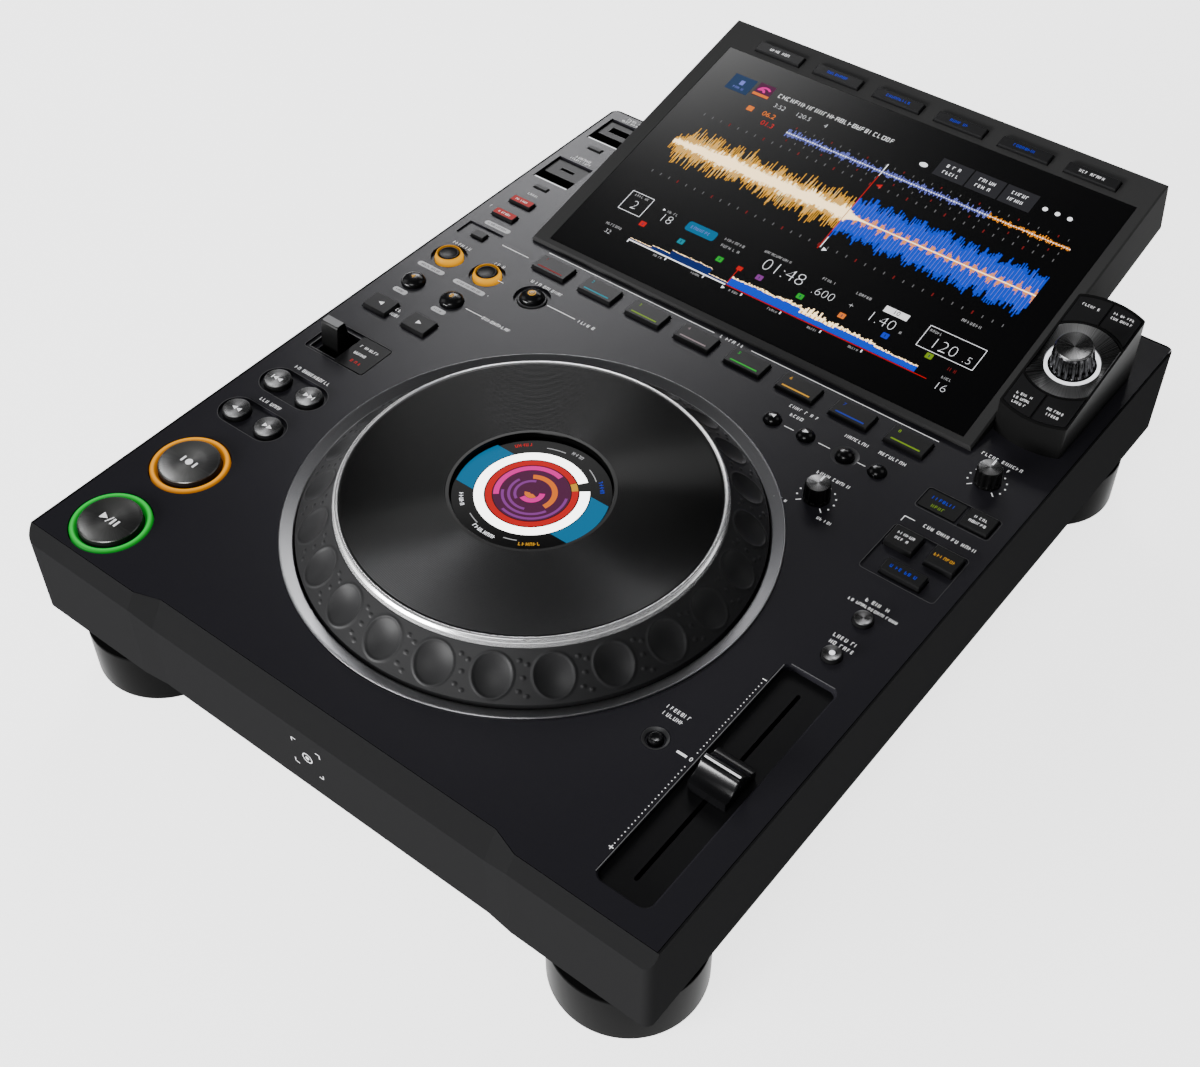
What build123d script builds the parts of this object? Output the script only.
"""Tabletop DJ player: a flat case on four tall round feet, a big dimpled jog wheel, a tilted touch screen
at the back, a rotary selector pod beside it, and play, cue, search, loop, hot cue and tempo controls.

Millimetres, +Z up, +X to the user's right, +Y to the back. The origin is the bottom centre of the whole
part's box. Places on the deck are given from the deck's left edge, or its right edge for the right column,
and from its front seam, and the deck() function turns them into the part's own frame.
"""
from build123d import *
from collections import namedtuple
from math import cos, hypot, radians, sin, tan
import os

os.makedirs("parts", exist_ok=True)

# ---------------------------------------------------------------- driving dimensions
# running and seating clearances
slip = 0.3            # gap round a key in its hole, and round inset plates
run_fit = 0.06        # radial clearance of a turning shaft in its bore

# case and deck
case_h = 46.4         # height of the side walls, bottom to deck
wall = 2.6            # case wall
floor_t = 2.5         # case floor
plate_t = 3.0         # deck plate
seam_rim = 0.8        # rim of the case that shows round the deck plate
front_wall = 1.2      # the hollow starts this far behind the front seam
corner_r = 4.0        # upright corners of the case
bevel_run = 4.8       # how far the front face stands ahead of the seam
bevel_deg = 55.6      # slope of the band between seam and front face
centre_setback = 4.0  # the seam's middle stretch stands back by this
face_setback = 1.3    # and the front face below it by this
step_in = 64.0        # from a side to where the middle stretch starts to step back
step_run = 12.0       # length of that slanted step
left_col = 58.5       # deck edge to the jog ring, left
right_col = 58.5      # deck edge to the jog ring, right
front_margin = 25.3   # front seam to the jog ring

# feet
foot_h = 34.9
foot_r = 32.1
foot_neck_r = 28.5
foot_neck_h = 8.5
foot_inset = 33.5     # foot centre from the side wall
foot_front = 27.9     # foot centre from the front seam
foot_back = 31.4      # foot centre from the back wall

# jog wheel
wheel_r = 99.2        # widest radius, at deck level
wheel_rise = 13.9     # shelf height above the deck
shelf_r = 82.6        # radius of the shelf under the rim
wheel_skirt = 6.0     # how far the wheel reaches below the deck
well_gap = 0.8        # between wheel and ring
ring_w = 6.0          # width of the sloping ring round the well
ring_lip = 2.0        # how far the ring laps over the deck
ring_drop = 8.0       # how far the ring's sleeve reaches below the deck
rim_w = 2.6           # bright rim
rim_h = 3.9
platter_t = 3.5
display_r = 33.6
display_sink = 2.4    # display face below the platter
display_t = 4.9
spindle_r = 22.0
hub_wall = 8.0
hub_rise = 8.0
dimple_count = 24
dimple_r = 7.8        # radius of a finger dimple at the surface
dimple_depth = 1.3

# screen slab
tilt = 13.2
slab_w = 248.4
slab_l = 180.2
slab_t = 29.4
slab_rise = 2.2       # front top edge above the deck
glass_w = 233.4
glass_l = 156.0
glass_t = 1.2
glass_shift = 1.4     # glass centre right of the slab's centre
glass_front = 3.9     # bezel in front of the glass
screen_key_w = 27.5
screen_key_l = 6.8
screen_key_pitch = 36.0
screen_key_gap = 3.9  # glass to keys
screen_key_rise = 1.5
screen_key_travel = 0.6

# selector pod
pod_w = 32.4
pod_r = 38.6          # both ends are arcs about the selector's axis
pod_rise = 9.8        # pod face above the slab's face
pod_along = 57.5      # selector axis up the slope from the slab's front edge
pod_rim = 1.3
dish_r = 21.0
dish_drop = 2.0
pod_key_gap = 1.0
pod_key_t = 2.6
pod_key_travel = 0.6
selector_r = 9.6
selector_top_r = 8.3
selector_h = 10.0
selector_travel = 0.6
selector_flutes = 18
selector_ring_w = 2.0
shaft_r = 3.0

# keys and knobs
key_flange = 1.0      # collar that keeps a key under the deck plate
key_travel = 1.0
disc_r = 13.6         # play and cue
disc_rise = 2.0
disc_ring_r = 17.7    # outside of the light ring
disc_ring_w = 2.5
search_r = 6.4
search_rise = 1.4
search_pitch = 19.8
search_recess_w = 16.8
loop_r = 5.3
loop_ring_r = 7.2     # foot of the lit cup round the loop keys
groove_r = 9.1        # outside of the groove round the loop and reloop keys
dome_r = 5.8
small_dome_r = 4.2
memory_dome_r = 4.1
hot_cue_w = 20.0
hot_cue_l = 11.0
hot_cue_pitch = 28.65
jump_w = 14.5
jump_l = 11.0
key_rise = 2.0
key_corner = 0.8
pocket_depth = 0.9    # shallow pockets round some of the keys
deep_pocket = 1.6     # pockets of the search keys
knob_r = 6.0
knob_top_r = 5.6
knob_h = 9.0
knob_flutes = 12
lever_w = 10.6
lever_rise = 12.0
lever_t = 5.4
lever_flare = 1.6     # the blade's thickening from its top to deck level, each side
lever_pin_r = 1.5
lever_pivot = 9.0     # pivot below the deck
lever_slot_w = 16.4
lever_slot_l = 17.6

# tempo fader
trough_w = 23.6
trough_l = 121.5
slot_w = 1.8
slot_l = 104.4
fader_w = 17.3
fader_l = 20.0
fader_rise = 7.5

# places down the left column, each from the one before it, starting at the front seam
play_margin = 2.7     # play key's light ring to the front seam
play_y = disc_ring_r + play_margin
cue_y = play_y + 44.3
search_y = cue_y + 37.2
track_y = search_y + 25.5
lever_y = track_y + 36.2
jump_y = lever_y + 32.3
beat_loop_y = jump_y + 23.4
loop_y = beat_loop_y + 25.8
call_y = loop_y + 23.2
lit_key_y = call_y + 19.0
lit_pitch = 13.7
stop_c_y = lit_key_y + lit_pitch + 16.4
usb_c_y = stop_c_y + 17.7
stop_a_y = usb_c_y + 27.2
usb_a_y = stop_a_y + 17.9
back_margin = 19.6    # USB-A bay's centre to the back edge
disc_x = 26.6
col_1 = 16.3
col_2 = 41.0
reloop_x = 69.5
lever_x = 18.2
lens_x = 35.6
usb_bay = 22.4        # side of a USB bay
usb_margin = 4.6      # bay to the deck's left edge
usb_bay_depth = 12.0
lit_w = 13.8
lit_l = 5.6
stop_w = 8.5
stop_l = 3.2
call_key_w = 8.0
call_key_l = 5.2
call_pocket_w = 22.0
call_pocket_l = 11.6

# places down the right column, from the right edge and the front seam
fader_in = 25.2
fader_y = 71.7
reset_in = 55.4
master_tempo_y = fader_y + 74.0
range_y = master_tempo_y + 22.8
key_sync_y = range_y + 31.0
beat_sync_y = key_sync_y + 16.6
mode_y = beat_sync_y + 28.5
speed_knob_y = mode_y + 23.7
knob_clear = 14.8     # jog weight knob's axis outside the jog ring
knob_bearing = 44.0   # and its bearing from the jog axis, degrees
outer_key_in = 15.8
beat_sync_in = 35.0
sync_key_w = 13.5
sync_key_l = 11.4
key_sync_w = 19.0
key_sync_l = 7.8
pocket_margin = 1.2
hot_cue_back = 31.0   # hot cue row's centre line behind the jog ring
memory_back = 7.2     # memory row's centre line behind the jog ring
slab_behind = 12.0    # slab's front edge behind the hot cue row's centre line

# back wall
inlet_w = 28.0
inlet_h = 21.0
lan_w = 16.0
lan_h = 14.0
usb_b_w = 12.6
usb_b_h = 11.6
jack_wall = 1.8
jack_depth = 16.0
phono_r = 4.3
phono_out = 8.0
switch_w = 12.4
switch_h = 8.4
switch_out = 2.2

# ---------------------------------------------------------------- derived sizes and planes
ring_r = wheel_r + well_gap + ring_w
case_w = left_col + 2 * ring_r + right_col
deck_l = usb_a_y + back_margin
well_x = left_col + ring_r
well_y = front_margin + ring_r
jog_back = well_y + ring_r
hot_cue_y = jog_back + hot_cue_back
slab_y = hot_cue_y + slab_behind
deck_z = foot_h + case_h
back_reach = slab_y + slab_l * cos(radians(tilt)) + slab_t * sin(radians(tilt))
overall_l = bevel_run + max(back_reach, deck_l)
seam_y = bevel_run - overall_l / 2
inside = case_h - floor_t         # deck to the case floor's upper face
usb_x = usb_margin + usb_bay / 2
knob_x = well_x + (ring_r + knob_clear) * cos(radians(knob_bearing))
knob_y = well_y + (ring_r + knob_clear) * sin(radians(knob_bearing))


def deck(x, y, z=0.0):
    """A point by its distance from the deck's left edge and front seam, and its height above the deck."""
    return (x - case_w / 2, seam_y + y, deck_z + z)


def deck_plane(x, y, z=0.0):
    """A level plane there, for a sketch."""
    return Plane(origin=deck(x, y, z))


def section_plane(x, y):
    """An upright plane through an axis on the deck: sketch x is radius, sketch y is height."""
    return Plane(origin=deck(x, y), x_dir=(1, 0, 0), z_dir=(0, -1, 0))


def upright(x, y):
    """The vertical axis at a place on the deck."""
    return Axis(deck(x, y), (0, 0, 1))


slope = (0, -sin(radians(tilt)), cos(radians(tilt)))
slab_plane = Plane(origin=deck(well_x, slab_y, slab_rise), x_dir=(1, 0, 0), z_dir=slope)
pod_x = slab_w / 2 + slip + pod_w / 2
pod_plane = Plane(origin=slab_plane.from_local_coords((pod_x, pod_along, pod_rise)),
                  x_dir=(1, 0, 0), z_dir=slope)
pod_section = Plane(origin=pod_plane.origin, x_dir=(1, 0, 0), z_dir=-pod_plane.y_dir)
pod_axis = Axis(pod_plane.origin, pod_plane.z_dir)
rear_plane = Plane(origin=deck(case_w / 2, deck_l, -case_h / 2), x_dir=(-1, 0, 0), z_dir=(0, 1, 0))


def save(piece, name):
    """Label a finished piece and write it to its own file."""
    piece.part.label = name
    export_step(piece.part, f"parts/{name}.step")


# ---------------------------------------------------------------- keys of the deck
RoundKey = namedtuple("RoundKey", "name x y r rise crown")
FlatKey = namedtuple("FlatKey", "name x y w l rise")

flat_edge = 0.5       # softened edge of a flat-topped key
search_x1 = disc_x - search_pitch / 2
search_x2 = disc_x + search_pitch / 2
metal_rise = 2.2
reset_r = 3.0
dome_rise = 3.0       # a dome key's top above the deck
dome_crown = 2.4      # height of its domed part
memory_dx = (44.6, 62.2, 82.6, 99.0)  # memory row: from the jog axis to each key

round_keys = [
    RoundKey("play_key", disc_x, play_y, disc_r, disc_rise, 0),
    RoundKey("cue_key", disc_x, cue_y, disc_r, disc_rise, 0),
    RoundKey("search_back_key", search_x1, search_y, search_r, search_rise, 0),
    RoundKey("search_forward_key", search_x2, search_y, search_r, search_rise, 0),
    RoundKey("track_back_key", search_x1, track_y, search_r, search_rise, 0),
    RoundKey("track_forward_key", search_x2, track_y, search_r, search_rise, 0),
    RoundKey("beat_loop_short_key", col_1, beat_loop_y, dome_r, dome_rise + 0.6, dome_crown),
    RoundKey("beat_loop_long_key", col_2, beat_loop_y, dome_r, dome_rise + 0.6, dome_crown),
    RoundKey("loop_in_key", col_1, loop_y, loop_r, key_rise, 0),
    RoundKey("loop_out_key", col_2, loop_y, loop_r, key_rise, 0),
    RoundKey("reloop_key", reloop_x, loop_y, dome_r, dome_rise, dome_crown),
    RoundKey("tempo_range_key", case_w - fader_in, range_y, small_dome_r, metal_rise, 0),
    RoundKey("master_tempo_key", case_w - fader_in, master_tempo_y, small_dome_r, metal_rise, 0),
    RoundKey("tempo_reset_key", case_w - reset_in, fader_y, reset_r, flat_edge + 0.1, 0),
]
memory_y = jog_back + memory_back
memory_row = [RoundKey("memory", well_x + dx, memory_y, memory_dome_r, dome_rise - 0.2, dome_crown)
              for dx in memory_dx]
hot_cues = [FlatKey(f"hot_cue_{letter}_key", well_x + (i - 3.5) * hot_cue_pitch, hot_cue_y,
                    hot_cue_w, hot_cue_l, key_rise) for i, letter in enumerate("abcdefgh")]
flat_keys = hot_cues + [
    FlatKey("beat_jump_back_key", col_1 + 0.5, jump_y, jump_w, jump_l, key_rise),
    FlatKey("beat_jump_forward_key", col_2 + 0.3, jump_y, jump_w, jump_l, key_rise),
    FlatKey("jog_mode_key", case_w - outer_key_in, mode_y, sync_key_w, sync_key_l, 1.0),
    FlatKey("beat_sync_key", case_w - beat_sync_in, beat_sync_y, sync_key_w, sync_key_l, key_rise),
    FlatKey("master_key", case_w - outer_key_in, beat_sync_y, sync_key_w, sync_key_l, key_rise),
    FlatKey("key_sync_key", case_w - fader_in, key_sync_y, key_sync_w, key_sync_l, key_rise),
]
service_keys = [
    FlatKey("stop_a", usb_x, stop_a_y, stop_w, stop_l, 0.8),
    FlatKey("stop_c", usb_x, stop_c_y, stop_w, stop_l, 0.8),
    FlatKey("lit_1", col_1 + 0.3, lit_key_y, lit_w, lit_l, 1.6),
    FlatKey("lit_2", col_1 + 0.3, lit_key_y + lit_pitch, lit_w, lit_l, 1.6),
    FlatKey("call_delete", col_1 + 0.4, call_y - 0.8, call_key_w, call_key_l, 0.6),
]
flange_top = plate_t + slip
key_bottom = flange_top + key_flange


def round_key_piece(keys):
    """Round keys, each a turned cap, flat or domed in two slopes, on a lug bar that keeps it under the plate."""
    with BuildPart() as piece:
        for key in keys:
            top = ([(key.r, key.rise - key.crown), (key.r * 0.8, key.rise - key.crown * 0.3), (key.r * 0.4, key.rise)]
                   if key.crown else [(key.r, key.rise - flat_edge), (key.r - flat_edge, key.rise)])
            with BuildSketch(section_plane(key.x, key.y)):
                Polygon((0, -flange_top), (key.r, -flange_top), *top, (0, key.rise), align=None)
            revolve(axis=upright(key.x, key.y))
            with BuildSketch(deck_plane(key.x, key.y, -key_bottom)):
                Rectangle(2 * (key.r + key_flange), key.r / 2)
            extrude(amount=key_flange)
    return piece


def flat_key_piece(keys):
    """Rectangular keys with rounded corners and softened top edges, on the same kind of lug bar."""
    with BuildPart() as piece:
        for key in keys:
            with BuildSketch(deck_plane(key.x, key.y, -flange_top)):
                RectangleRounded(key.w, key.l, key_corner)
            extrude(amount=flange_top + key.rise)
            chamfer(edges(Select.LAST).group_by(Axis.Z)[-1], flat_edge)
            with BuildSketch(deck_plane(key.x, key.y, -key_bottom)):
                Rectangle(key.w + 2 * key_flange, key.l / 2)
            extrude(amount=key_flange)
    return piece


for key in round_keys:
    save(round_key_piece([key]), key.name)
for key in flat_keys:
    save(flat_key_piece([key]), key.name)
save(round_key_piece(memory_row), "memory_keys")
save(flat_key_piece(service_keys), "service_keys")

# ---------------------------------------------------------------- case
seam_points = [
    (0, 0), (step_in, 0), (step_in + step_run, centre_setback),
    (case_w - step_in - step_run, centre_setback), (case_w - step_in, 0),
    (case_w, 0), (case_w, deck_l), (0, deck_l),
]
bevel_drop = 20.0     # depth of the band of the case that the bevel is cut in
bevel_forward = bevel_drop / tan(radians(bevel_deg))


def inset(side, front=0.0):
    """The seam's points pulled in by one amount at the sides and back, and by another at the front."""
    return [(min(max(x, side), case_w - side), y + front if y < deck_l / 2 else y - side)
            for x, y in seam_points]


face_points = [(x, -bevel_run if y < centre_setback else face_setback - bevel_run)
               if y < deck_l / 2 else (x, y) for x, y in seam_points]
Jack = namedtuple("Jack", "x w h mouth_w mouth_h")
inlet = Jack(-128.0, inlet_w, inlet_h, inlet_w - 2 * jack_wall, inlet_h - 2 * jack_wall)
lan = Jack(38.0, lan_w, lan_h, lan_w - 2 * jack_wall, lan_h - 2 * jack_wall)
usb_b = Jack(62.0, usb_b_w, usb_b_h, usb_b_w - 2 * jack_wall, usb_b_h - 2 * jack_wall)
phono_places = (88.0, 112.0, 130.0)
switch_x = -98.0
board_x, board_y, board_w, board_l = 112.0, 335.0, 180.0, 92.0
standoff_h = 6.0
standoff_r = 4.0
standoff_in = 8.0

with BuildPart() as lower_case:
    # upper band: the face outline met by a flared shape that has the bevel's slope
    with BuildSketch(deck_plane(0, 0, -bevel_drop)):
        Polygon(*face_points, align=None)
    extrude(amount=bevel_drop)
    with BuildSketch(deck_plane(0, 0, -bevel_drop)):
        Polygon(*inset(0, -bevel_forward), align=None)
    with BuildSketch(deck_plane(0, 0)):
        Polygon(*seam_points, align=None)
    loft(ruled=True, mode=Mode.INTERSECT)
    # lower band, straight down
    with BuildSketch(deck_plane(0, 0, -case_h)):
        Polygon(*face_points, align=None)
    extrude(amount=case_h - bevel_drop)
    back_edges = edges().filter_by(Axis.Z).filter_by(lambda e: e.length > case_h / 2)
    fillet(back_edges.sort_by(Axis.Y)[-2:], corner_r)
    front_edges = edges().filter_by(Axis.Z).filter_by(lambda e: e.length > bevel_drop)
    fillet(front_edges.group_by(Axis.Y)[0].group_by(Axis.X)[0], corner_r)
    fillet(edges().filter_by(Axis.Z).filter_by(lambda e: e.length > bevel_drop)
           .group_by(Axis.Y)[0].group_by(Axis.X)[-1], corner_r)
    # pocket of the deck plate, and the hollow below it, whose walls carry the plate
    with BuildSketch(deck_plane(0, 0)):
        Polygon(*inset(seam_rim), align=None)
    extrude(amount=-plate_t, mode=Mode.SUBTRACT)
    with BuildSketch(deck_plane(0, 0, -plate_t)):
        Polygon(*inset(wall, front_wall), align=None)
    extrude(amount=-(inside - plate_t), mode=Mode.SUBTRACT)
    # posts of the main board
    for sx in (-1, 1):
        for sy in (-1, 1):
            with BuildSketch(deck_plane(board_x + sx * (board_w / 2 - standoff_in),
                                        board_y + sy * (board_l / 2 - standoff_in), -inside)):
                Circle(standoff_r)
            extrude(amount=standoff_h)
    # openings of the back wall
    with BuildSketch(rear_plane):
        for jack in (inlet, lan, usb_b):
            with Locations((jack.x, 0)):
                Rectangle(jack.w, jack.h)
        with Locations(*[(x, 0) for x in phono_places]):
            Circle(phono_r + slip)
        with Locations((switch_x, 0)):
            Rectangle(switch_w + 2 * slip, switch_h + 2 * slip)
    extrude(amount=-(wall + 1), mode=Mode.SUBTRACT)
save(lower_case, "lower_case")

# ---------------------------------------------------------------- deck plate
lever_pocket_w = 36.6
lever_pocket_l = 22.0
lens_w = 17.4
lens_l = 20.6
mode_lens_w = 18.0
mode_lens_l = 11.4
strip_l = 1.6
ear_gap = lever_w + 2 * slip
ear_t = 3.0
ear_l = 9.0
ring_sleeve_r = ring_r - ring_lip
mode_pocket_w = beat_sync_in - outer_key_in + sync_key_w + 2 * pocket_margin
mode_pocket_x = case_w - (beat_sync_in + outer_key_in) / 2
sync_pocket_l = beat_sync_y - key_sync_y + sync_key_l / 2 + key_sync_l / 2 + 2 * pocket_margin + 1.5
sync_pocket_y = (beat_sync_y + sync_key_l / 2 + key_sync_y - key_sync_l / 2) / 2
trough_round = 4.0
loop_ring_places = (col_1, col_2, reloop_x)
trough_chamfer = 0.8

with BuildPart() as top_plate:
    with BuildSketch(deck_plane(0, 0, -plate_t)):
        Polygon(*inset(seam_rim + slip, slip), align=None)
    extrude(amount=plate_t)
    # through holes
    with BuildSketch(deck_plane(0, 0)):
        with Locations((well_x, well_y)):
            Circle(ring_sleeve_r + slip)
        for key in round_keys + memory_row:
            with Locations((key.x, key.y)):
                Circle(key.r + slip)
        for key in flat_keys + service_keys:
            with Locations((key.x, key.y)):
                Rectangle(key.w + 2 * slip, key.l + 2 * slip)
        for y in (play_y, cue_y):
            with Locations((disc_x, y)):
                Circle(disc_ring_r + slip)
        for x in loop_ring_places:
            with Locations((x, loop_y)):
                Circle(loop_ring_r + slip)
        with Locations((lever_x, lever_y)):
            Rectangle(lever_slot_w, lever_slot_l)
        with Locations((usb_x, usb_c_y), (usb_x, usb_a_y)):
            Rectangle(usb_bay, usb_bay)
        with Locations((knob_x, knob_y), (case_w - fader_in, speed_knob_y)):
            Circle(shaft_r + run_fit)
        with Locations((case_w - fader_in, fader_y)):
            RectangleRounded(trough_w, trough_l, trough_round)
    extrude(amount=-plate_t, mode=Mode.SUBTRACT)
    trough_edges = edges().group_by(Axis.Z)[-1].filter_by(
        lambda e: abs(e.center().X - deck(case_w - fader_in, 0)[0]) <= trough_w / 2 + 0.1
        and abs(e.center().Y - deck(0, fader_y)[1]) <= trough_l / 2 + 0.1)
    chamfer(trough_edges, trough_chamfer)
    # shallow pockets
    with BuildSketch(deck_plane(0, 0)):
        with Locations((lever_x - lever_slot_w / 2 - 2 + lever_pocket_w / 2, lever_y)):
            RectangleRounded(lever_pocket_w, lever_pocket_l, 2)
        with Locations((col_1, call_y)):
            RectangleRounded(call_pocket_w, call_pocket_l, key_corner)
        with Locations((mode_pocket_x, mode_y)):
            RectangleRounded(mode_pocket_w, sync_key_l + 2 * pocket_margin, 2)
        with Locations((mode_pocket_x, sync_pocket_y)):
            RectangleRounded(mode_pocket_w, sync_pocket_l, 2)
        with Locations((memory_row[2].x, memory_y)):
            Circle(memory_dome_r + 2.3)
    extrude(amount=-pocket_depth, mode=Mode.SUBTRACT)
    with BuildSketch(deck_plane(0, 0)):
        with Locations((disc_x, search_y), (disc_x, track_y)):
            SlotCenterToCenter(search_pitch, search_recess_w)
        with Locations((case_w - reset_in, fader_y)):
            Circle(reset_r + 2.6)
        for x in loop_ring_places:
            with Locations((x, loop_y)):
                Circle(groove_r)
    extrude(amount=-deep_pocket, mode=Mode.SUBTRACT)
    # two ears under the plate that carry the direction lever's pins
    for side in (-1, 1):
        ear_x = lever_x + side * (ear_gap / 2 + ear_t / 2)
        with BuildSketch(Plane(origin=deck(ear_x - ear_t / 2, lever_y), x_dir=(0, 1, 0), z_dir=(1, 0, 0))):
            with Locations((0, -(plate_t + lever_pivot) / 2)):
                Rectangle(ear_l, lever_pivot - plate_t)
            with Locations((0, -lever_pivot)):
                Circle(ear_l / 2)
            with Locations((0, -lever_pivot)):
                Circle(lever_pin_r + run_fit, mode=Mode.SUBTRACT)
            with Locations((lever_slot_l / 2 - 1, -plate_t - 1)):
                Rectangle(lever_slot_l / 4, 2)
            with Locations((1 - lever_slot_l / 2, -plate_t - 1)):
                Rectangle(lever_slot_l / 4, 2)
            with Locations((0, -plate_t - 1)):
                Rectangle(lever_slot_l + 4, 2)
        extrude(amount=ear_t)
save(top_plate, "top_plate")

with BuildPart() as indicator_lenses:
    with BuildSketch(deck_plane(lens_x, lever_y, -pocket_depth)):
        RectangleRounded(lens_w, lens_l, key_corner)
    extrude(amount=pocket_depth + slip)
    with BuildSketch(deck_plane(case_w - beat_sync_in + 1.6, mode_y, -pocket_depth)):
        RectangleRounded(mode_lens_w, mode_lens_l, key_corner)
    extrude(amount=pocket_depth - 0.2)
    # a lit strip along the front wall of each USB bay
    for y in (usb_c_y, usb_a_y):
        with BuildSketch(deck_plane(usb_x, y - usb_bay / 2 + strip_l / 2, -plate_t)):
            Rectangle(usb_bay - 2 * slip, strip_l)
        extrude(amount=plate_t - slip)
save(indicator_lenses, "indicator_lenses")

# ---------------------------------------------------------------- light rings
ring_top = 0.9
ring_shelf = 1.2      # dark shelf between play or cue and its lit band, below the deck
ring_lower_r = disc_r + slip
cup_rim = 0.6         # width of the cup's rim
cup_top = key_rise + 0.2
reloop_ring_top = -0.4
bezel_t = pod_key_t + pod_key_travel + slip
selector_ring_r = selector_r + 0.8 + selector_ring_w

with BuildPart() as light_rings:
    for y in (play_y, cue_y):
        with BuildSketch(section_plane(disc_x, y)):
            Polygon((ring_lower_r, -plate_t), (disc_ring_r, -plate_t), (disc_ring_r, ring_top - flat_edge),
                    (disc_ring_r - flat_edge, ring_top), (disc_ring_r - disc_ring_w, ring_top),
                    (disc_ring_r - disc_ring_w, -ring_shelf), (ring_lower_r, -ring_shelf), align=None)
        revolve(axis=upright(disc_x, y))
    for x in (col_1, col_2):
        with BuildSketch(section_plane(x, loop_y)):
            Polygon((loop_r + slip, -plate_t), (loop_ring_r, -plate_t), (loop_ring_r, 0),
                    (loop_r + slip + cup_rim, cup_top), (loop_r + slip, cup_top), align=None)
        revolve(axis=upright(x, loop_y))
    with BuildSketch(section_plane(reloop_x, loop_y)):
        Polygon((dome_r + slip, -plate_t), (loop_ring_r, -plate_t), (loop_ring_r, reloop_ring_top),
                (dome_r + slip, reloop_ring_top), align=None)
    revolve(axis=upright(reloop_x, loop_y))
    with BuildSketch(pod_section):
        Polygon((selector_ring_r - selector_ring_w, -bezel_t), (selector_ring_r, -bezel_t),
                (selector_ring_r, slip - dish_drop), (selector_ring_r - selector_ring_w, slip - dish_drop),
                align=None)
    revolve(axis=pod_axis)
save(light_rings, "light_rings")

# ---------------------------------------------------------------- jog wheel
cone_run = wheel_r - shelf_r
skirt_top = 0.4       # the cone of dimples starts this far above the deck
cone_rise = wheel_rise - skirt_top
cone_len = hypot(cone_run, cone_rise)
bore_r = spindle_r + run_fit
hub_r = bore_r + hub_wall
web_t = 3.0
shelf_w = 5.6
dimple_ball = (dimple_r ** 2 + dimple_depth ** 2) / (2 * dimple_depth)
ball_reach = dimple_ball - dimple_depth
ball_r = wheel_r - cone_run / 2 + ball_reach * cone_rise / cone_len
ball_z = skirt_top + cone_rise / 2 + ball_reach * cone_run / cone_len

with BuildPart() as jog_wheel:
    with BuildSketch(section_plane(well_x, well_y)):
        Polygon((bore_r, -wheel_skirt), (wheel_r, -wheel_skirt), (wheel_r, skirt_top), (shelf_r, wheel_rise),
                (shelf_r - shelf_w, wheel_rise), (shelf_r - shelf_w, wheel_rise - web_t),
                (wheel_r - shelf_w, web_t - wheel_skirt), (hub_r, web_t - wheel_skirt), (hub_r, hub_rise),
                (bore_r, hub_rise), align=None)
    revolve(axis=upright(well_x, well_y))
    dimple_spots = []
    for i in range(dimple_count):
        angle = radians(i * 360 / dimple_count)
        dimple_spots.append(deck(well_x + ball_r * cos(angle), well_y + ball_r * sin(angle), ball_z))
    with Locations(*dimple_spots):
        Sphere(dimple_ball, mode=Mode.SUBTRACT)
save(jog_wheel, "jog_wheel")

rim_r = shelf_r - slip
with BuildPart() as jog_rim:
    with BuildSketch(section_plane(well_x, well_y)):
        Polygon((rim_r - rim_w, wheel_rise), (rim_r, wheel_rise), (rim_r, wheel_rise + rim_h / 2),
                (rim_r - rim_w / 2, wheel_rise + rim_h), (rim_r - rim_w, wheel_rise + rim_h), align=None)
    revolve(axis=upright(well_x, well_y))
save(jog_rim, "jog_rim")

platter_r = rim_r - rim_w
with BuildPart() as jog_platter:
    with BuildSketch(deck_plane(well_x, well_y, wheel_rise)):
        Circle(platter_r)
        Circle(display_r + slip, mode=Mode.SUBTRACT)
    extrude(amount=platter_t)
save(jog_platter, "jog_platter")

display_top = wheel_rise + platter_t - display_sink
with BuildPart() as jog_display:
    with BuildSketch(deck_plane(well_x, well_y, display_top - display_t)):
        Circle(display_r)
    extrude(amount=display_t)
    chamfer(edges().group_by(Axis.Z)[-1], 0.3)
save(jog_display, "jog_display")

spindle_top = display_top - display_t
column_r = 26.0
base_r = 45.0
base_t = 4.0
cable_r = 15.0
with BuildPart() as jog_spindle:
    with BuildSketch(section_plane(well_x, well_y)):
        Polygon((cable_r, -inside), (base_r, -inside), (base_r, base_t - inside), (column_r, base_t - inside),
                (column_r, -wheel_skirt - slip), (spindle_r, -wheel_skirt - slip), (spindle_r, spindle_top),
                (cable_r, spindle_top), align=None)
    revolve(axis=upright(well_x, well_y))
save(jog_spindle, "jog_spindle")

ring_inner = ring_r - ring_w
with BuildPart() as jog_ring:
    with BuildSketch(section_plane(well_x, well_y)):
        Polygon((ring_inner, -ring_drop), (ring_sleeve_r, -ring_drop), (ring_sleeve_r, 0), (ring_r, 0),
                (ring_r, 0.6), (ring_r - 0.4, 0.9), (ring_r - 0.8, 0.8), (ring_inner, -0.9), align=None)
    revolve(axis=upright(well_x, well_y))
save(jog_ring, "jog_ring")

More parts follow.
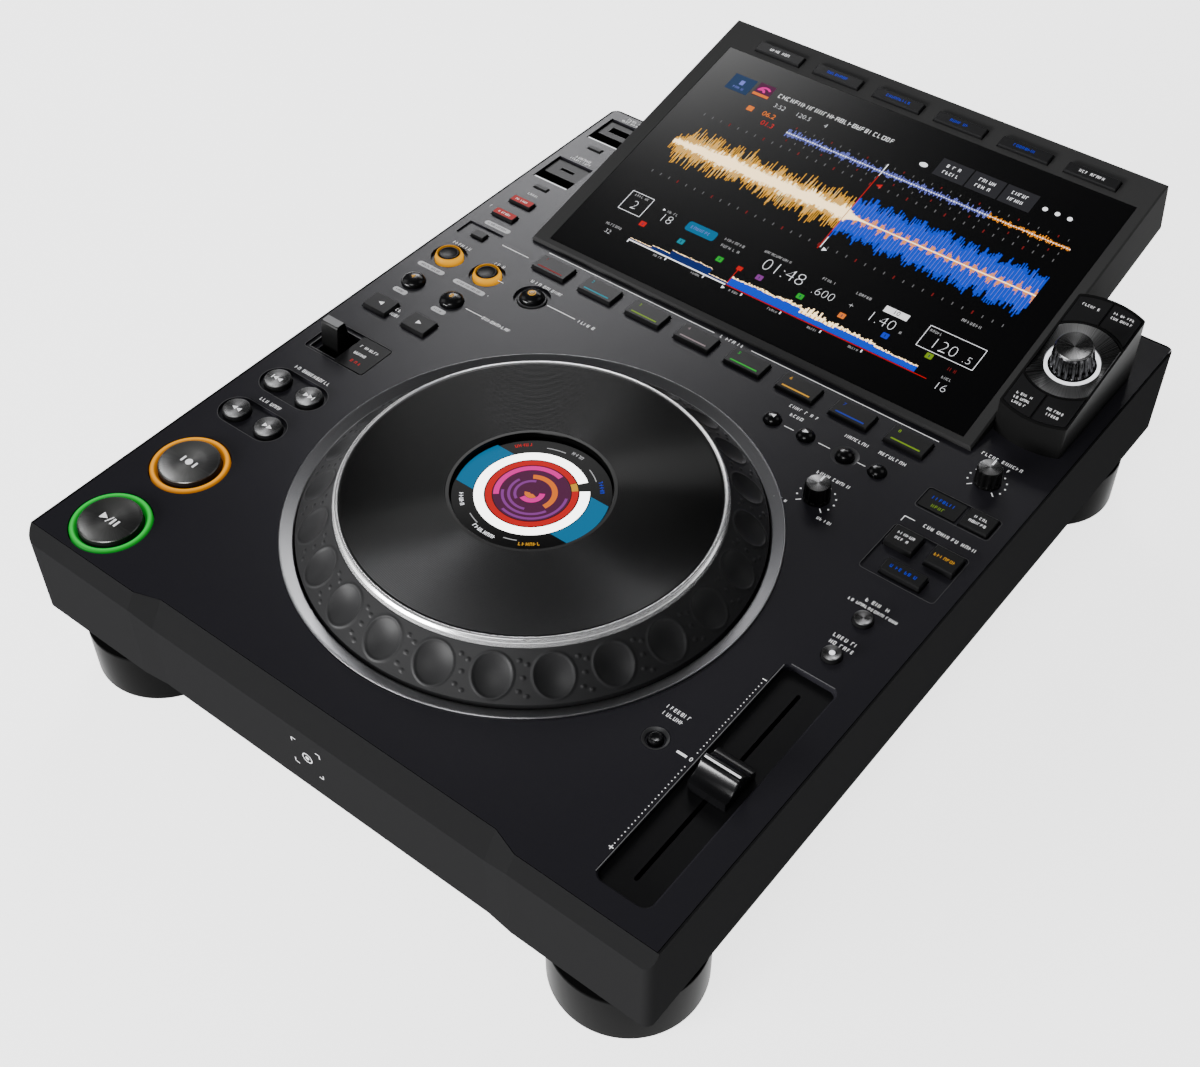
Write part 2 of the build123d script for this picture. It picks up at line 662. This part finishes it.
# ---------------------------------------------------------------- direction lever
lever_foot = 3.0
with BuildPart() as direction_lever:
    with BuildSketch(Plane(origin=deck(lever_x - lever_w / 2, lever_y), x_dir=(0, 1, 0), z_dir=(1, 0, 0))):
        Polygon((-lever_foot, -lever_pivot), (lever_foot, -lever_pivot), (lever_t / 2 + lever_flare, 0),
                (lever_t / 2, lever_rise), (-lever_t / 2, lever_rise), (-lever_t / 2 - lever_flare, 0),
                align=None)
        with Locations((0, -lever_pivot)):
            Circle(lever_foot)
    extrude(amount=lever_w)
    chamfer(edges().group_by(Axis.Z)[-1], flat_edge)
    with BuildSketch(Plane(origin=deck(lever_x - ear_gap / 2 - ear_t, lever_y, -lever_pivot),
                           x_dir=(0, 1, 0), z_dir=(1, 0, 0))):
        Circle(lever_pin_r)
    extrude(amount=ear_gap + 2 * ear_t)
save(direction_lever, "direction_lever")

# ---------------------------------------------------------------- knobs
flute = 1.6           # side of the square that cuts a V flute
pointer_w = 0.8


def knob(x, y):
    """A tapered fluted knob with its pointer groove, on a shaft through the deck plate."""
    with BuildPart() as turned:
        with BuildSketch(section_plane(x, y)):
            Polygon((0, -key_bottom - 6), (shaft_r, -key_bottom - 6), (shaft_r, slip), (knob_r, slip),
                    (knob_r, 1.4), (knob_top_r, knob_h - 0.5), (knob_top_r - 0.5, knob_h), (0, knob_h),
                    align=None)
        revolve(axis=upright(x, y))
        with BuildSketch(deck_plane(x, y, 1.6)):
            with PolarLocations(knob_r + flute / 4, knob_flutes, start_angle=180 / knob_flutes):
                Rectangle(flute, flute, rotation=45)
        extrude(amount=knob_h, mode=Mode.SUBTRACT)
        with BuildSketch(deck_plane(x, y, knob_h - 0.6)):
            with Locations((0, knob_r / 2 + 1)):
                Rectangle(pointer_w, knob_r + 2)
        extrude(amount=1, mode=Mode.SUBTRACT)
    return turned


save(knob(knob_x, knob_y), "jog_weight_knob")
save(knob(case_w - fader_in, speed_knob_y), "speed_adjust_knob")

# ---------------------------------------------------------------- tempo fader
tray_t = 1.5
pot_h = 10.0
pot_w = 14.0
channel_w = 4.0
stem_w = 1.2
stem_l = 4.0
cap_lift = 0.4
cap_edge = 2.0

with BuildPart() as fader_unit:
    with BuildSketch(deck_plane(case_w - fader_in, fader_y, -plate_t)):
        Rectangle(trough_w + 4, trough_l + 4)
    extrude(amount=-tray_t)
    with BuildSketch(deck_plane(case_w - fader_in, fader_y, -plate_t - tray_t)):
        Rectangle(pot_w, slot_l + 12)
    extrude(amount=-pot_h)
    with BuildSketch(deck_plane(case_w - fader_in, fader_y, -plate_t - tray_t)):
        Rectangle(channel_w, slot_l)
    extrude(amount=-(pot_h - 1.5), mode=Mode.SUBTRACT)
    with BuildSketch(deck_plane(case_w - fader_in, fader_y, -plate_t)):
        SlotOverall(slot_l, slot_w, rotation=90)
    extrude(amount=-tray_t, mode=Mode.SUBTRACT)
save(fader_unit, "fader_unit")

with BuildPart() as tempo_fader:
    side = Plane(origin=deck(case_w - fader_in - fader_w / 2, fader_y), x_dir=(0, 1, 0), z_dir=(1, 0, 0))
    cap_base = cap_lift - plate_t
    with BuildSketch(side):
        with BuildLine():
            Polyline((-fader_l / 2, cap_edge), (-fader_l / 2, cap_base), (fader_l / 2, cap_base),
                     (fader_l / 2, cap_edge))
            ThreePointArc((fader_l / 2, cap_edge), (fader_l / 4, cap_edge + 1.2), (1.8, fader_rise))
            Line((1.8, fader_rise), (-1.8, fader_rise))
            ThreePointArc((-1.8, fader_rise), (-fader_l / 4, cap_edge + 1.2), (-fader_l / 2, cap_edge))
        make_face()
    extrude(amount=fader_w)
    chamfer(edges().filter_by(Axis.X).group_by(Axis.Z)[-1], flat_edge)
    with BuildSketch(deck_plane(case_w - fader_in, fader_y, cap_base)):
        Rectangle(stem_w, stem_l)
    extrude(amount=-(tray_t + cap_lift + pot_h - 4))
save(tempo_fader, "tempo_fader")

# ---------------------------------------------------------------- USB bays
bay_wall = 1.4
socket_drop = 1.2     # face of the socket block below the deck
socket_l = 12.6       # its depth front to back
socket_back = 1.2     # gap between it and the bay's back wall
usb_a_w, usb_a_l = 13.1, 5.3
usb_c_w, usb_c_l = 9.0, 2.6
mouth_depth = 9.0

with BuildPart() as usb_ports:
    for y, mouth_w, mouth_l in ((usb_a_y, usb_a_w, usb_a_l), (usb_c_y, usb_c_w, usb_c_l)):
        socket_y = y + (usb_bay - socket_l) / 2 - socket_back
        with BuildSketch(deck_plane(usb_x, y, -plate_t)):
            Rectangle(usb_bay + 2 * bay_wall, usb_bay + 2 * bay_wall)
        extrude(amount=-usb_bay_depth)
        with BuildSketch(deck_plane(usb_x, y, -plate_t)):
            Rectangle(usb_bay, usb_bay)
        extrude(amount=-(usb_bay_depth - bay_wall), mode=Mode.SUBTRACT)
        with BuildSketch(deck_plane(usb_x, socket_y, -plate_t - usb_bay_depth + bay_wall)):
            Rectangle(usb_bay - 2 * slip, socket_l)
        extrude(amount=plate_t + usb_bay_depth - bay_wall - socket_drop)
        with BuildSketch(deck_plane(usb_x, socket_y, -socket_drop)):
            Rectangle(mouth_w, mouth_l)
        extrude(amount=-mouth_depth, mode=Mode.SUBTRACT)
save(usb_ports, "usb_ports")

# ---------------------------------------------------------------- screen
screen_key_y = glass_front + glass_l + screen_key_gap + screen_key_l / 2
screen_key_t = 2.6
screen_key_spots = [(glass_shift + (i - 2.5) * screen_key_pitch, screen_key_y) for i in range(6)]

with BuildPart() as screen_housing:
    with BuildSketch(slab_plane):
        with Locations((0, slab_l / 2)):
            Rectangle(slab_w, slab_l)
    extrude(amount=-slab_t)
    chamfer(faces().sort_by(Axis(slab_plane.origin, slab_plane.z_dir))[-1].edges(), key_corner)
    split(bisect_by=deck_plane(0, 0), keep=Keep.TOP)
    with BuildSketch(slab_plane):
        with Locations((glass_shift, glass_front + glass_l / 2)):
            Rectangle(glass_w + 2 * slip, glass_l + 2 * slip)
    extrude(amount=-glass_t, mode=Mode.SUBTRACT)
    with BuildSketch(slab_plane):
        with Locations(*screen_key_spots):
            Rectangle(screen_key_w + 2 * slip, screen_key_l + 2 * slip)
    extrude(amount=-(screen_key_t + screen_key_travel + slip), mode=Mode.SUBTRACT)
save(screen_housing, "screen_housing")

with BuildPart() as screen_glass:
    with BuildSketch(slab_plane):
        with Locations((glass_shift, glass_front + glass_l / 2)):
            Rectangle(glass_w, glass_l)
    extrude(amount=-glass_t)
save(screen_glass, "screen_glass")

with BuildPart() as screen_keys:
    with BuildSketch(slab_plane.offset(-screen_key_t)):
        with Locations(*screen_key_spots):
            RectangleRounded(screen_key_w, screen_key_l, key_corner)
    extrude(amount=screen_key_t + screen_key_rise)
    chamfer(faces().filter_by(lambda f: f.normal_at().dot(slab_plane.z_dir) > 0.99).edges(), flat_edge)
save(screen_keys, "screen_keys")

# ---------------------------------------------------------------- selector pod
dish_half = pod_w / 2 - pod_rim
shaft_depth = 14.0
pod_key_inner = dish_r + 1.6
pod_key_outer = pod_r - 1.9
pod_height = 70.0     # taller than the pod, cut off along its face
pod_corner = 1.5

with BuildPart() as pod_column:
    with BuildSketch(Plane(origin=(pod_plane.origin.X, pod_plane.origin.Y, deck_z))):
        Ellipse(pod_r, pod_r * cos(radians(tilt)))
        Rectangle(pod_w, 2 * pod_r, mode=Mode.INTERSECT)
        fillet(vertices(), pod_corner)
    extrude(amount=pod_height)

# the housing stops under the bezel, with the shaft's bore and room for the press
with BuildPart() as selector_pod:
    add(pod_column.part)
    split(bisect_by=pod_plane.offset(-bezel_t), keep=Keep.BOTTOM)
    with BuildSketch(pod_plane):
        Circle(shaft_r + run_fit)
    extrude(amount=-(shaft_depth + selector_travel + slip), mode=Mode.SUBTRACT)
save(selector_pod, "selector_pod")

# the bezel frames the dish and the four keys
with BuildPart() as pod_bezel:
    add(pod_column.part)
    split(bisect_by=pod_plane, keep=Keep.BOTTOM)
    split(bisect_by=pod_plane.offset(-bezel_t), keep=Keep.TOP)
    with BuildSketch(pod_plane):
        Circle(dish_r + slip)
        Rectangle(2 * (dish_half + slip), 3 * dish_r, mode=Mode.INTERSECT)
    extrude(amount=-bezel_t, mode=Mode.SUBTRACT)
    with BuildSketch(pod_plane):
        Circle(pod_key_outer + slip)
        Circle(pod_key_inner - slip, mode=Mode.SUBTRACT)
        Rectangle(2 * (dish_half + slip), 3 * pod_r, mode=Mode.INTERSECT)
        Rectangle(pod_key_gap - 2 * slip, 3 * pod_r, mode=Mode.SUBTRACT)
    extrude(amount=-bezel_t, mode=Mode.SUBTRACT)
save(pod_bezel, "pod_bezel")

with BuildPart() as pod_keys:
    with BuildSketch(pod_plane.offset(-pod_key_t)):
        Circle(pod_key_outer)
        Circle(pod_key_inner, mode=Mode.SUBTRACT)
        Rectangle(2 * dish_half, 3 * pod_r, mode=Mode.INTERSECT)
        Rectangle(pod_key_gap, 3 * pod_r, mode=Mode.SUBTRACT)
    extrude(amount=pod_key_t + slip)
save(pod_keys, "pod_keys")

with BuildPart() as selector_dish:
    with BuildSketch(pod_section):
        Polygon((selector_ring_r + 0.2, -bezel_t), (dish_r, -bezel_t), (dish_r, 0),
                (selector_ring_r + 0.2, -dish_drop), align=None)
    revolve(axis=pod_axis)
    with BuildSketch(pod_plane.offset(-bezel_t)):
        Rectangle(2 * dish_half, 3 * dish_r)
    extrude(amount=bezel_t + 1, mode=Mode.INTERSECT)
save(selector_dish, "selector_dish")

knob_floor = bezel_t - selector_travel - 2 * slip
with BuildPart() as selector_shaft:
    with BuildSketch(pod_plane.offset(-shaft_depth)):
        Circle(shaft_r)
    extrude(amount=shaft_depth + selector_h / 2)
save(selector_shaft, "selector_shaft")

with BuildPart() as selector_knob:
    with BuildSketch(pod_section):
        Polygon((shaft_r + run_fit, -knob_floor), (selector_r, -knob_floor),
                (selector_r, selector_h * 0.35), (selector_top_r + 0.4, selector_h - 0.6),
                (selector_top_r, selector_h), (0, selector_h),
                (0, selector_h / 2 + selector_travel + slip),
                (shaft_r + run_fit, selector_h / 2 + selector_travel + slip), align=None)
    revolve(axis=pod_axis)
    with BuildSketch(pod_plane.offset(-knob_floor)):
        with PolarLocations(selector_r + flute / 4, selector_flutes):
            Rectangle(flute, flute, rotation=45)
    extrude(amount=knob_floor + selector_h - 1.2, mode=Mode.SUBTRACT)
save(selector_knob, "selector_knob")

# ---------------------------------------------------------------- feet
foot_top = foot_neck_h + case_h
foot_base = foot_h + case_h
foot_edge = 1.2

with BuildPart() as feet:
    for x in (foot_inset, case_w - foot_inset):
        for y in (foot_front, deck_l - foot_back):
            with BuildSketch(section_plane(x, y)):
                Polygon((0, -case_h), (foot_neck_r, -case_h), (foot_neck_r, -foot_top), (foot_r, -foot_top),
                        (foot_r, foot_edge - foot_base), (foot_r - foot_edge, -foot_base), (0, -foot_base),
                        align=None)
            revolve(axis=upright(x, y))
save(feet, "feet")

# ---------------------------------------------------------------- boards, power supply and jacks
board_t = 1.6
processor = 38.0      # side of the biggest chip
processor_place = (-40, 10)
chip_w, chip_l, chip_h = 14.0, 10.0, 5.0
chip_grid = (22, 18, 3, 2)
with BuildPart() as main_board:
    with BuildSketch(deck_plane(board_x, board_y, standoff_h - inside)):
        Rectangle(board_w, board_l)
    extrude(amount=board_t)
    with BuildSketch(deck_plane(board_x, board_y, standoff_h - inside + board_t)):
        with Locations(processor_place):
            Rectangle(processor, processor)
        with GridLocations(*chip_grid):
            Rectangle(chip_w, chip_l)
    extrude(amount=chip_h)
save(main_board, "main_board")

supply_w, supply_l, supply_h = 88.0, 80.0, 28.0
supply_x = case_w - wall - 8 - supply_w / 2
supply_y = deck_l - 73.8
with BuildPart() as power_supply:
    with BuildSketch(deck_plane(supply_x, supply_y, -inside)):
        Rectangle(supply_w, supply_l)
    extrude(amount=supply_h)
save(power_supply, "power_supply")

pin_w, pin_h, pin_back = 2.2, 4.0, 5.0
live_pin, earth_pin = (7.0, -2.0), (0.0, 3.0)
phono_bore_r = 1.6
phono_block = 13.0    # side of the block that carries a phono socket behind the wall
with BuildPart() as rear_jacks:
    for jack in (inlet, lan, usb_b):
        with BuildSketch(rear_plane):
            with Locations((jack.x, 0)):
                Rectangle(jack.w, jack.h)
        extrude(amount=-jack_depth)
        with BuildSketch(rear_plane):
            with Locations((jack.x, 0)):
                Rectangle(jack.mouth_w, jack.mouth_h)
        extrude(amount=-(jack_depth - jack_wall), mode=Mode.SUBTRACT)
    with BuildSketch(rear_plane.offset(-(jack_depth - jack_wall))):
        with Locations((inlet.x - live_pin[0], live_pin[1]), (inlet.x + live_pin[0], live_pin[1]),
                       (inlet.x + earth_pin[0], earth_pin[1])):
            Rectangle(pin_w, pin_h)
    extrude(amount=jack_depth - jack_wall - pin_back)
    with BuildSketch(rear_plane.offset(-wall)):
        with Locations(*[(x, 0) for x in phono_places]):
            Rectangle(phono_block, phono_block)
    extrude(amount=wall - jack_depth)
    with BuildSketch(rear_plane.offset(-wall)):
        with Locations(*[(x, 0) for x in phono_places]):
            Circle(phono_r)
            Circle(phono_bore_r, mode=Mode.SUBTRACT)
    extrude(amount=wall + phono_out)
save(rear_jacks, "rear_jacks")

with BuildPart() as power_switch:
    with BuildSketch(rear_plane.offset(-(wall + 5))):
        with Locations((switch_x, 0)):
            Rectangle(switch_w, switch_h)
    extrude(amount=wall + 5 + switch_out)
    chamfer(faces().sort_by(Axis.Y)[-1].edges(), flat_edge)
save(power_switch, "power_switch")
